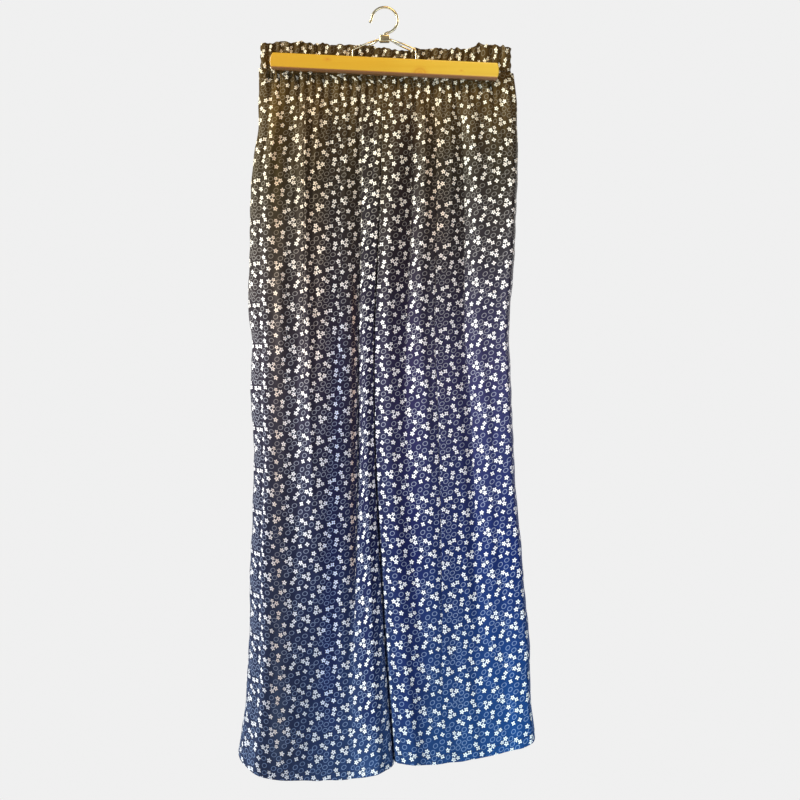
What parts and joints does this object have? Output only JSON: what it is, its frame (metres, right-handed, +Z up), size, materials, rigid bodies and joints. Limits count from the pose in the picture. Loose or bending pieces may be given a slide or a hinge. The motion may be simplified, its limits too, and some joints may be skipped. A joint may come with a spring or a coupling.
{
  "type": "palazzo trousers clamped in a wooden trouser hanger",
  "caption": "Wide-legged trousers with an elastic waist and a gathered frill, hanging flat from a two-slat clamp hanger with a wire hook.",
  "frame": {"origin": "highest point inside the hook, where a rail carries it", "axes": "+Z up; the front of the trousers and the front slat face -Y; +X to the right as seen from the front"},
  "size_m": [0.404, 0.0823, 1.047],
  "materials": {
    "cloth": "matt woven viscose with a small printed flower",
    "wood": "golden satin varnish",
    "steel": "plated wire, satin"
  },
  "bodies": {
    "root": {"waistband": "cloth", "front_panel_left": "cloth", "front_panel_right": "cloth", "back_panel_left": "cloth", "back_panel_right": "cloth", "slat_front": "wood", "slat_back": "wood", "bail_front": "steel", "bail_back": "steel", "clasp": "steel", "hook": "steel"}
  },
  "joints": []
}
